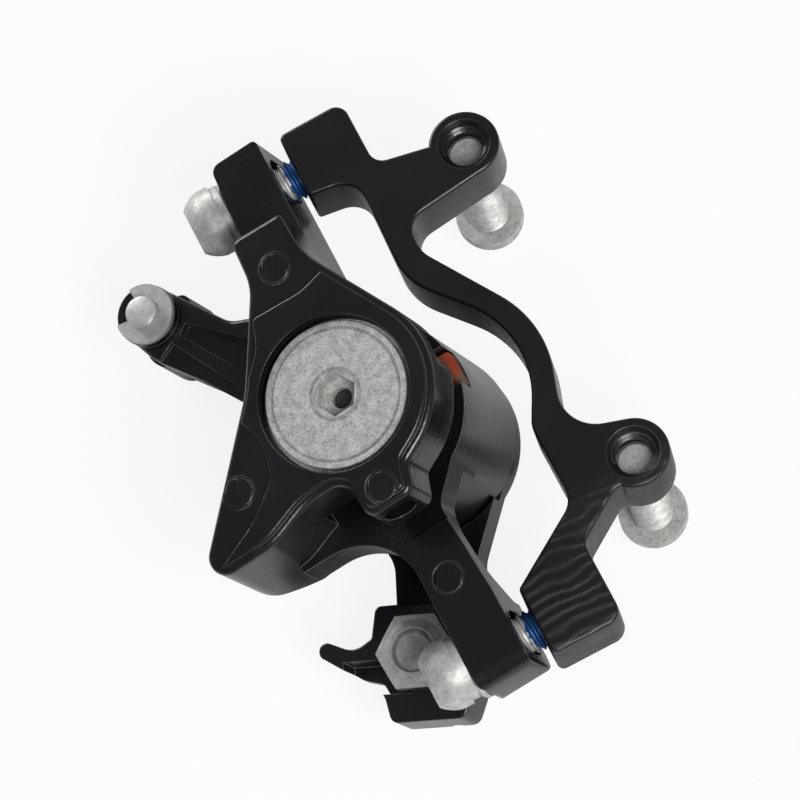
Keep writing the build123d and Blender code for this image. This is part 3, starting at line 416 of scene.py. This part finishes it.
def painted(name, gloss, grain_share=1.0, rippled=False):
    """Black paint with an orange peel, dull patches, and edges whose grey is partly rubbed metal and partly
    painted edge highlight
    """
    paint = settings("caliper_paint")
    patch_share, dust_share = 9.0, 0.25
    depth = grain_share * paint.grain_depth
    shader = Shader(name)
    peel = shader.noise(paint.grain)
    patches = shader.noise(patch_share * paint.grain, detail=2.0)
    dust = shader.noise(dust_share * paint.grain, detail=2.0)
    dusty = shader.spread(dust, levels=(0.60, 0.90))
    colour = shader.mix(dusty, paint.colour, shade(paint.colour, 2.0))
    rounded = shader.edge_normal(paint.edge)
    # Edges get grey in patches, partly wear and partly painted edge highlight
    rub_and_highlight_chance = shader.spread(patches, levels=(0.42, 0.62), gives=(0.1, 0.55))
    rubbed = shader.combine("MULTIPLY", shader.edge_mask(rounded), rub_and_highlight_chance)
    colour = shader.mix(rubbed, colour, paint.worn_and_edge_highlight)
    roughness = shader.spread(patches, levels=(0.35, 0.70), gives=(gloss, gloss + 0.10))
    normal = shader.bump(peel, depth, rounded)
    normal = shader.bump(dust, dust_share * depth, normal)
    if rippled:
        foot = bracket_low.y + paint.foot * (bracket_high.y - bracket_low.y)
        height = shader.axis_value(shader.coordinates, "Y")
        inside = shader.spread(height, levels=(foot + paint.foot_fade, foot))
        waves = shader.waves(shader.coordinates, paint.ripple, distortion=5.0, detail=1.5)
        ripple = shader.combine("MULTIPLY", waves, inside)
        normal = shader.bump(ripple, paint.ripple_depth, normal)
        dull = shader.spread(inside, levels=(0.0, 1.0), gives=(0.0, 0.14))
        roughness = shader.combine("ADD", roughness, dull)
    return shader.finish(colour, normal, roughness)


def zinc_plate(name, turned=False, locked=False):
    """Dull bright plate with mottling, and turned rings or thread lock where asked"""
    plating = settings("caliper_plating")
    shader = Shader(name)
    mottle = shader.noise(plating.mottle, detail=5.0, roughness=0.65)
    dull = shader.spread(mottle, levels=(0.35, 0.68))
    colour = shader.mix(dull, plating.zinc, plating.dull_zinc)
    fine = shader.noise(plating.cast_pit if turned else plating.pit, roughness=0.75)
    pit_levels, darkest = ((0.50, 0.70), 0.8) if turned else ((0.55, 0.70), 0.5)
    pitted = shader.spread(fine, pit_levels, gives=(0.0, darkest))
    colour = shader.mix(pitted, colour, plating.speck)
    smooth = plating.cast_roughness if turned else plating.roughness
    roughness = shader.spread(mottle, levels=(0.3, 0.7), gives=(smooth, smooth + 0.12))
    normal = shader.bump(fine, plating.pit_depth)
    if turned:
        rings = shader.waves(shader.from_frame(PISTON_FRAME), plating.ring, "RINGS", distortion=0.4)
        normal = shader.bump(rings, plating.ring_depth, normal)
        colour = turned_colour(shader, colour, rings, mottle)
    if locked:
        colour = locked_colour(shader, colour, mottle)
    shader.value("Metallic", plating.metal)
    return shader.finish(colour, normal, roughness)


def turned_colour(shader, colour, rings, mottle):
    """Darkens a colour along the turned rings, and paints shade into the two grooves round the disc's socket"""
    plating = settings("caliper_plating")
    faint = shader.spread(rings, levels=(0.0, 1.0), gives=(0.0, 0.07))
    colour = shader.mix(faint, colour, plating.speck)
    middle = shader.radius(shader.from_frame(PISTON_FRAME))
    # Painted shade in each groove, broken up by the mottle
    for groove_r, darkest in ((plating.hub_groove_r, 0.65), (plating.rim_groove_r, 0.45)):
        away = shader.combine("ABSOLUTE", shader.combine("SUBTRACT", middle, groove_r))
        sides = (plating.groove_wide, plating.groove_flat)
        groove_shade = shader.spread(away, levels=sides, gives=(0.0, darkest))
        broken = shader.spread(mottle, levels=(0.3, 0.6), gives=(0.4, 1.0))
        colour = shader.mix(shader.combine("MULTIPLY", groove_shade, broken), colour, plating.speck)
    return colour


def locked_colour(shader, colour, mottle):
    """Blue thread lock on a stretch of the bolts, with ragged ends"""
    plating = settings("caliper_plating")
    reach = (-plating.lock_ragged, plating.lock_ragged)
    ragged = shader.combine(
        "ADD",
        shader.axis_value(shader.coordinates, "X"),
        shader.spread(mottle, levels=(0.3, 0.7), gives=reach),
    )
    start = shader.spread(ragged, levels=(plating.lock_from - plating.lock_fade, plating.lock_from))
    end = shader.spread(ragged, levels=(plating.lock_to, plating.lock_to - plating.lock_fade))
    return shader.mix(shader.combine("MULTIPLY", start, end), colour, plating.lock_blue)


def primed_plate(name):
    """Pad plate with red primer round a middle darkened as painted shade, and a rubbed patch on its tab"""
    pads = settings("caliper_pads")
    shader = Shader(name)
    speck = shader.noise(pads.speck, detail=4.0, roughness=0.7)
    faded = shader.spread(speck, levels=(0.35, 0.70))
    red = shader.mix(faded, pads.primer, shade(pads.primer, 0.5))
    # Painted shade in the plate's middle, with the primer outside it
    middle = shader.radius(shader.from_frame(PISTON_FRAME))
    outside = shader.spread(middle, levels=(pads.painted_shade_r, pads.painted_shade_r + pads.painted_shade_fade))
    colour = shader.mix(outside, pads.painted_shade, red)
    tab = shader.radius(shader.from_frame(PISTON_FRAME @ Matrix.Translation(pads.rub_place)))
    rubbed = shader.spread(tab, levels=(pads.rub_r + pads.rub_fade, pads.rub_r))
    colour = shader.mix(rubbed, colour, pads.lining)
    shader.value("Roughness", 0.6)
    return shader.finish(colour, shader.bump(speck, pads.speck_depth))


def plain_metal(name, colour, roughness, metallic=1.0):
    """Bare metal with faint wear"""
    metal = settings("caliper_metal")
    shader = Shader(name)
    wear = shader.noise(metal.wear)
    tone = shader.mix(shader.spread(wear, levels=(0.3, 0.7)), colour, shade(colour, 0.75))
    dull = shader.spread(wear, levels=(0.3, 0.7), gives=(roughness, roughness + 0.1))
    grain = shader.noise(metal.grain, detail=2.0)
    shader.value("Metallic", metallic)
    return shader.finish(tone, shader.bump(grain, metal.grain_depth), dull)


def rough_compound(name, colour, dark, grain):
    """Dull rubber or friction compound with dark specks"""
    shader = Shader(name)
    speck = shader.noise(grain, detail=4.0, roughness=0.7)
    tone = shader.mix(shader.spread(speck, levels=(0.35, 0.65)), colour, dark)
    shader.value("Roughness", 0.85)
    return shader.finish(tone, shader.bump(speck, settings("caliper_metal").rough_depth))


def make_finishes():
    """Every finish by its slot, or by its node where one piece of a slot differs"""
    paint = settings("caliper_paint")
    lining = settings("caliper_pads").lining
    metal = settings("caliper_metal")
    rubber, rubber_speck = (0.02, 0.02, 0.02), (0.01, 0.01, 0.01)
    lining_speck = (0.03, 0.025, 0.02)
    return {
        "black_casting": painted("casting_black", paint.gloss),
        "black_paint": painted("bracket_black", paint.bracket_gloss, grain_share=1.2, rippled=True),
        "zinc": zinc_plate("zinc_plate"),
        "zinc_disc": zinc_plate("cast_zinc", turned=True),
        "caliper_bolts": zinc_plate("zinc_locked", locked=True),
        "pad_steel": primed_plate("red_primer"),
        "friction": rough_compound("friction_compound", lining, lining_speck, metal.lining_grain),
        "stop_clip": plain_metal("clip_steel", (0.50, 0.50, 0.49), roughness=0.5, metallic=0.5),
        "spring_steel": plain_metal("spring_steel", (0.10, 0.10, 0.11), roughness=0.35),
        "steel": plain_metal("ground_steel", (0.60, 0.60, 0.60), roughness=0.25),
        "rubber": rough_compound("black_rubber", rubber, rubber_speck, metal.rubber_grain),
        "brass": plain_metal("stamped_brass", (0.70, 0.50, 0.22), roughness=0.3),
        "bronze": plain_metal("sintered_bronze", (0.50, 0.32, 0.16), roughness=0.5),
    }


def finish_of(node, finishes):
    return finishes.get(node, finishes[slots[node]])


def finish_on(node):
    """The finish that a dressed node already wears"""
    return bpy.data.objects[f"{node}_dressed"].data.materials[0]


# Shapes


def body_of_node(node):
    bodies = frame["record"]["behaviour"]["bodies"]
    return next(body for body, members in bodies.items() if node in members)


def top_along(node, direction):
    """Furthest reach of a node along a direction"""
    return max(vert.co.dot(direction) for vert in frame["nodes"][node].data.vertices)


def axis_place(point, direction):
    """A place with its third axis along the direction"""
    turn = direction.to_track_quat("Z", "Y").to_matrix().to_4x4()
    return Matrix.Translation(point) @ turn


def smooth_by_angle(mesh, limit):
    """Smooth shading with sharp edges where faces meet at more than the limit"""
    shape = bmesh.new()
    shape.from_mesh(mesh)
    for face in shape.faces:
        face.smooth = True
    for edge in shape.edges:
        edge.smooth = len(edge.link_faces) == 2 and edge.calc_face_angle(0.0) < limit
    shape.to_mesh(mesh)
    shape.free()


def keep(name, shape, material, node, limit=SHARP_ANGLE, replace=True):
    """A finished piece that moves with the body of a frame node, and may stand for it"""
    mesh = bpy.data.meshes.new(name)
    shape.to_mesh(mesh)
    shape.free()
    smooth_by_angle(mesh, limit)
    piece = bpy.data.objects.new(name, mesh)
    bpy.context.scene.collection.objects.link(piece)
    mesh.materials.append(material)
    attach(piece, body_of_node(node))
    if replace:
        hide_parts(node)


def welded(node):
    """A bmesh copy of a frame node with its triangles joined"""
    shape = bmesh.new()
    shape.from_mesh(frame["nodes"][node].data)
    bmesh.ops.remove_doubles(shape, verts=shape.verts, dist=WELD)
    return shape


def screw_thread(shape, place, crest_r, root_r, length, ridge_only=False):
    """A closed helical thread along the place's third axis, from its origin up"""
    thread = settings("caliper_threads")
    pitch = thread.pitch
    turns = round(length / pitch) - 1
    rise, full, fall, end = RIDGE_SHARES
    rows = ((root_r, rise), (crest_r, full), (crest_r, fall), (root_r, end))
    if not ridge_only:
        rows = ((root_r, 0.0), *rows, (root_r, 1.0))
    made = [shape.verts.new((radius, 0.0, share * pitch)) for radius, share in rows]
    ring = made[1:] + made[:1] if ridge_only else made[1:]
    edges = [shape.edges.new(pair) for pair in zip(made, ring)]
    before = set(shape.verts) - set(made)
    bmesh.ops.spin(
        shape,
        geom=made + edges,
        angle=turns * math.tau,
        steps=turns * thread.steps,
        axis=(0.0, 0.0, 1.0),
        cent=(0.0, 0.0, 0.0),
        dvec=(0.0, 0.0, pitch / thread.steps),
    )
    new = [vert for vert in shape.verts if vert not in before]
    bmesh.ops.remove_doubles(shape, verts=new, dist=pitch / 100)
    new = [vert for vert in shape.verts if vert not in before]
    rims = [edge for edge in {edge for vert in new for edge in vert.link_edges} if edge.is_boundary]
    bmesh.ops.holes_fill(shape, edges=rims, sides=0)
    new_faces = list({face for vert in new for face in vert.link_faces})
    bmesh.ops.triangulate(shape, faces=[face for face in new_faces if len(face.verts) > 4])
    new_faces = list({face for vert in new for face in vert.link_faces})
    bmesh.ops.recalc_face_normals(shape, faces=new_faces)
    bmesh.ops.transform(shape, matrix=place, verts=new)


def cut_shank(shape, point, direction, shank_r):
    """Takes a bolt's plain shank away, and gives the ends that it had along the axis"""
    near, shortest = 0.03 * MM, 1.0 * MM
    doomed, ends = [], []
    for face in shape.faces:
        steps = [vert.co - point for vert in face.verts]
        along = [step.dot(direction) for step in steps]
        off = [(step - height * direction).length for step, height in zip(steps, along)]
        on_shank = all(abs(radius - shank_r) < near for radius in off)
        if on_shank and max(along) - min(along) > shortest:
            doomed.append(face)
            ends += along
    bmesh.ops.delete(shape, geom=doomed, context="FACES")
    rims = [edge for edge in shape.edges if edge.is_boundary]
    bmesh.ops.holes_fill(shape, edges=rims, sides=0)
    return min(ends), max(ends)


def threaded_bolts(node):
    """A frame node's bolts, with real threads in place of their plain shanks"""
    thread = settings("caliper_threads")
    shape = welded(node)
    for point, direction in BOLTED[node]:
        low, high = cut_shank(shape, point, direction, THREAD_R)
        place = axis_place(point + (low - thread.sink) * direction, direction)
        screw_thread(shape, place, THREAD_R, THREAD_R - thread.depth, high - low + thread.sink)
    return shape


def hatched_disc(place):
    """A small disc with ridges, sunk into the casting's face"""
    mark = settings("caliper_marks")
    near = mark.spacing / 50
    shape = bmesh.new()
    bmesh.ops.create_circle(shape, cap_ends=True, radius=mark.radius, segments=48)
    reach = int(mark.radius / mark.spacing)
    for line in range(-reach, reach + 1):
        bmesh.ops.bisect_plane(
            shape,
            geom=shape.verts[:] + shape.edges[:] + shape.faces[:],
            plane_co=(line * mark.spacing, 0.0, 0.0),
            plane_no=(1.0, 0.0, 0.0),
        )
    for vert in shape.verts:
        line = round(vert.co.x / mark.spacing)
        if abs(vert.co.x - line * mark.spacing) < near and line % 2 == 0:
            vert.co.z = mark.height
    wall = bmesh.ops.extrude_face_region(shape, geom=shape.faces[:])
    for item in wall["geom"]:
        if isinstance(item, bmesh.types.BMVert):
            item.co.z = -2.0 * mark.height
    bmesh.ops.recalc_face_normals(shape, faces=shape.faces[:])
    bmesh.ops.transform(shape, matrix=place, verts=shape.verts)
    return shape


class CALIPER_OT_all_pieces(bpy.types.Operator):
    """Dresses every piece in its finish, and cuts the threads of the bolts"""

    bl_idname = "caliper.all_pieces"
    bl_label = "Dress the pieces"

    def execute(self, context):
        finishes = make_finishes()
        for node in frame["nodes"]:
            if node not in BOLTED:
                keep(f"{node}_dressed", welded(node), finish_of(node, finishes), node)
        for node in BOLTED:
            keep(f"{node}_threaded", threaded_bolts(node), finish_of(node, finishes), node)
        return {"FINISHED"}


class CALIPER_OT_taps(bpy.types.Operator):
    """Cuts the turns of thread that show in the bracket's two bosses"""

    bl_idname = "caliper.taps"
    bl_label = "Tapped bosses"

    def execute(self, context):
        thread = settings("caliper_threads")
        bore = THREAD_R + thread.room
        length = bracket_high.z - thread.tap_low
        for name, y in (("upper_tapped_turns", TAB_Y), ("lower_tapped_turns", -TAB_Y)):
            shape = bmesh.new()
            place = axis_place(Vector((0.0, y, thread.tap_low)), UP)
            screw_thread(shape, place, bore - thread.depth, bore, length, ridge_only=True)
            keep(name, shape, finish_on("adapter_bracket"), "adapter_bracket", replace=False)
        return {"FINISHED"}


class CALIPER_OT_nut_collar(bpy.types.Operator):
    """Turns the domed collar that stands on the clamp nut round the bolt's end"""

    bl_idname = "caliper.nut_collar"
    bl_label = "Nut collar"

    def execute(self, context):
        nut = settings("caliper_nut")
        foot, crest = -nut.collar_sink, nut.collar_high
        shape = bmesh.new()
        rows = ((nut.collar_in, foot), (nut.collar_in, crest), (nut.collar_out, foot))
        made = [shape.verts.new((radius, 0.0, height)) for radius, height in rows]
        edges = [shape.edges.new(pair) for pair in zip(made, made[1:] + made[:1])]
        bmesh.ops.spin(
            shape,
            geom=made + edges,
            angle=math.tau,
            steps=56,
            axis=(0.0, 0.0, 1.0),
            cent=(0.0, 0.0, 0.0),
            use_merge=True,
        )
        bmesh.ops.bevel(
            shape,
            geom=[edge for edge in shape.edges if all(v.co.z > crest / 2 for v in edge.verts)],
            offset=nut.collar_round,
            segments=4,
            profile=0.5,
            affect="EDGES",
            material=-1,
        )
        bmesh.ops.recalc_face_normals(shape, faces=shape.faces[:])
        height = top_along("clamp_nut", W_AXIS) - CLAMP_POINT.dot(W_AXIS)
        place = axis_place(CLAMP_POINT + height * W_AXIS, W_AXIS)
        bmesh.ops.transform(shape, matrix=place, verts=shape.verts)
        limit = math.radians(40.0)
        keep("clamp_nut_collar", shape, finish_on("clamp_nut"), "clamp_nut", limit, replace=False)
        return {"FINISHED"}


class CALIPER_OT_marks(bpy.types.Operator):
    """Sets the hatched ejector marks on the casting"""

    bl_idname = "caliper.marks"
    bl_label = "Ejector marks"

    def execute(self, context):
        finish = finish_on("caliper_body")
        turn = Matrix.Rotation(settings("caliper_marks").turn, 4, "Z")
        limit = math.radians(60.0)
        for name, u, v, level in MARKS:
            place = PISTON_FRAME @ Matrix.Translation(Vector((u, v, level)) * MM) @ turn
            keep(name, hatched_disc(place), finish, "caliper_body", limit, replace=False)
        return {"FINISHED"}


# Studio


def view_rotation(stage):
    """Rotation of the camera from the way the wheel axle and the bolt line run in view"""
    axle = Vector(
        (
            math.sin(stage.view_tilt) * math.cos(stage.view_turn),
            math.sin(stage.view_tilt) * math.sin(stage.view_turn),
            math.cos(stage.view_tilt),
        )
    )
    across = math.cos(stage.view_roll)
    down = math.sin(stage.view_roll)
    bolt_line = Vector((across, down, -(across * axle.x + down * axle.y) / axle.z)).normalized()
    towards = -axle
    reach = bolt_line.cross(towards)
    seen = Matrix((reach, bolt_line, towards)).transposed()
    flip = Matrix.Diagonal((1.0, -1.0, -1.0))
    return (flip @ seen).transposed()


def add_camera(stage):
    camera = bpy.data.cameras.new("camera")
    camera.sensor_width = stage.sensor
    camera.lens = stage.lens
    camera.clip_start, camera.clip_end = 0.01, 20.0
    holder = bpy.data.objects.new("camera", camera)
    bpy.context.scene.collection.objects.link(holder)
    holder.matrix_world = Matrix.Translation(stage.camera_place) @ view_rotation(stage).to_4x4()
    bpy.context.scene.camera = holder


def floor_paper(stage):
    """Floor paper that the camera sees nearly white, with a faint shadow left in it"""
    paper = Shader("floor_paper")
    paper.value("Base Color", (*stage.floor_colour, 1.0))
    paper.value("Roughness", 0.9)
    path = paper.nodes.new("ShaderNodeLightPath")
    seen = paper.combine("MULTIPLY", path.outputs["Is Camera Ray"], stage.floor_white)
    white = paper.nodes.new("ShaderNodeEmission")
    mixed = paper.nodes.new("ShaderNodeMixShader")
    paper.link(seen, mixed.inputs["Fac"])
    paper.link(paper.principled.outputs["BSDF"], mixed.inputs[1])
    paper.link(white.outputs["Emission"], mixed.inputs[2])
    paper.link(mixed.outputs["Shader"], paper.nodes["Material Output"].inputs["Surface"])
    return paper.material


def add_floor(stage, level):
    shape = bmesh.new()
    bmesh.ops.create_grid(shape, x_segments=1, y_segments=1, size=stage.floor_reach)
    bmesh.ops.translate(shape, verts=shape.verts, vec=(0.0, 0.0, level))
    mesh = bpy.data.meshes.new("floor")
    shape.to_mesh(mesh)
    shape.free()
    mesh.materials.append(floor_paper(stage))
    floor = bpy.data.objects.new("floor", mesh)
    bpy.context.scene.collection.objects.link(floor)
    floor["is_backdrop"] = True


def add_room(stage):
    """A dim even light all round, which the camera sees as a pale background"""
    world = bpy.data.worlds.new("studio")
    bpy.context.scene.world = world
    world.use_nodes = True
    nodes, links = world.node_tree.nodes, world.node_tree.links
    light = nodes["Background"]
    light.inputs["Color"].default_value = (1.0, 1.0, 1.0, 1.0)
    light.inputs["Strength"].default_value = stage.sky
    pale = nodes.new("ShaderNodeBackground")
    pale.inputs["Color"].default_value = (*stage.floor_colour, 1.0)
    path = nodes.new("ShaderNodeLightPath")
    mixed = nodes.new("ShaderNodeMixShader")
    links.new(path.outputs["Is Camera Ray"], mixed.inputs["Fac"])
    links.new(light.outputs["Background"], mixed.inputs[1])
    links.new(pale.outputs["Background"], mixed.inputs[2])
    links.new(mixed.outputs["Shader"], nodes["World Output"].inputs["Surface"])


def add_softbox(name, target, place, size, power):
    """A rectangular lamp that stands at a place from the target and looks at it"""
    lamp = bpy.data.lights.new(name, "AREA")
    lamp.shape = "RECTANGLE"
    lamp.size, lamp.size_y = size
    lamp.energy = power
    holder = bpy.data.objects.new(name, lamp)
    bpy.context.scene.collection.objects.link(holder)
    holder.location = target + Vector(place)
    holder.rotation_mode = "QUATERNION"
    holder.rotation_quaternion = (-Vector(place)).to_track_quat("-Z", "Y")


class CALIPER_OT_studio(bpy.types.Operator):
    """Builds the camera, the pale floor, the lamps and the room light"""

    bl_idname = "caliper.studio"
    bl_label = "Studio"

    def execute(self, context):
        stage = settings("caliper_stage")
        low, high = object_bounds()
        centre = (low + high) / 2
        add_camera(stage)
        add_floor(stage, low.z - stage.floor_gap)
        add_room(stage)
        add_softbox("key", centre, stage.key_place, stage.key_size, stage.key)
        side_power = stage.side_share * stage.key
        add_softbox("side", centre, stage.side_place, stage.side_size, side_power)
        context.scene.view_settings.view_transform = "Standard"
        return {"FINISHED"}


class CALIPER_PT_sidebar(bpy.types.Panel):
    """Lists the steps in the 3D view's sidebar"""

    bl_label = "Disc brake caliper"
    bl_space_type = "VIEW_3D"
    bl_region_type = "UI"
    bl_category = "Caliper"

    def draw(self, context):
        for step in STEPS:
            self.layout.operator(step.bl_idname)


STEPS = (
    CALIPER_OT_all_pieces,
    CALIPER_OT_taps,
    CALIPER_OT_nut_collar,
    CALIPER_OT_marks,
    CALIPER_OT_studio,
)
GROUPS = {
    "caliper_paint": PaintSettings,
    "caliper_plating": PlatingSettings,
    "caliper_pads": PadSettings,
    "caliper_metal": MetalSettings,
    "caliper_threads": ThreadSettings,
    "caliper_nut": NutSettings,
    "caliper_marks": MarkSettings,
    "caliper_stage": StageSettings,
}


def register():
    for group in (*GROUPS.values(), *STEPS, CALIPER_PT_sidebar):
        bpy.utils.register_class(group)
    for name, group in GROUPS.items():
        setattr(bpy.types.Scene, name, bpy.props.PointerProperty(type=group))


def unregister():
    for name in GROUPS:
        delattr(bpy.types.Scene, name)
    for group in reversed((*GROUPS.values(), *STEPS, CALIPER_PT_sidebar)):
        bpy.utils.unregister_class(group)


def main():
    register()
    bpy.ops.caliper.all_pieces()
    bpy.ops.caliper.taps()
    bpy.ops.caliper.nut_collar()
    bpy.ops.caliper.marks()
    bpy.ops.caliper.studio()


if __name__ == "__main__":
    main()
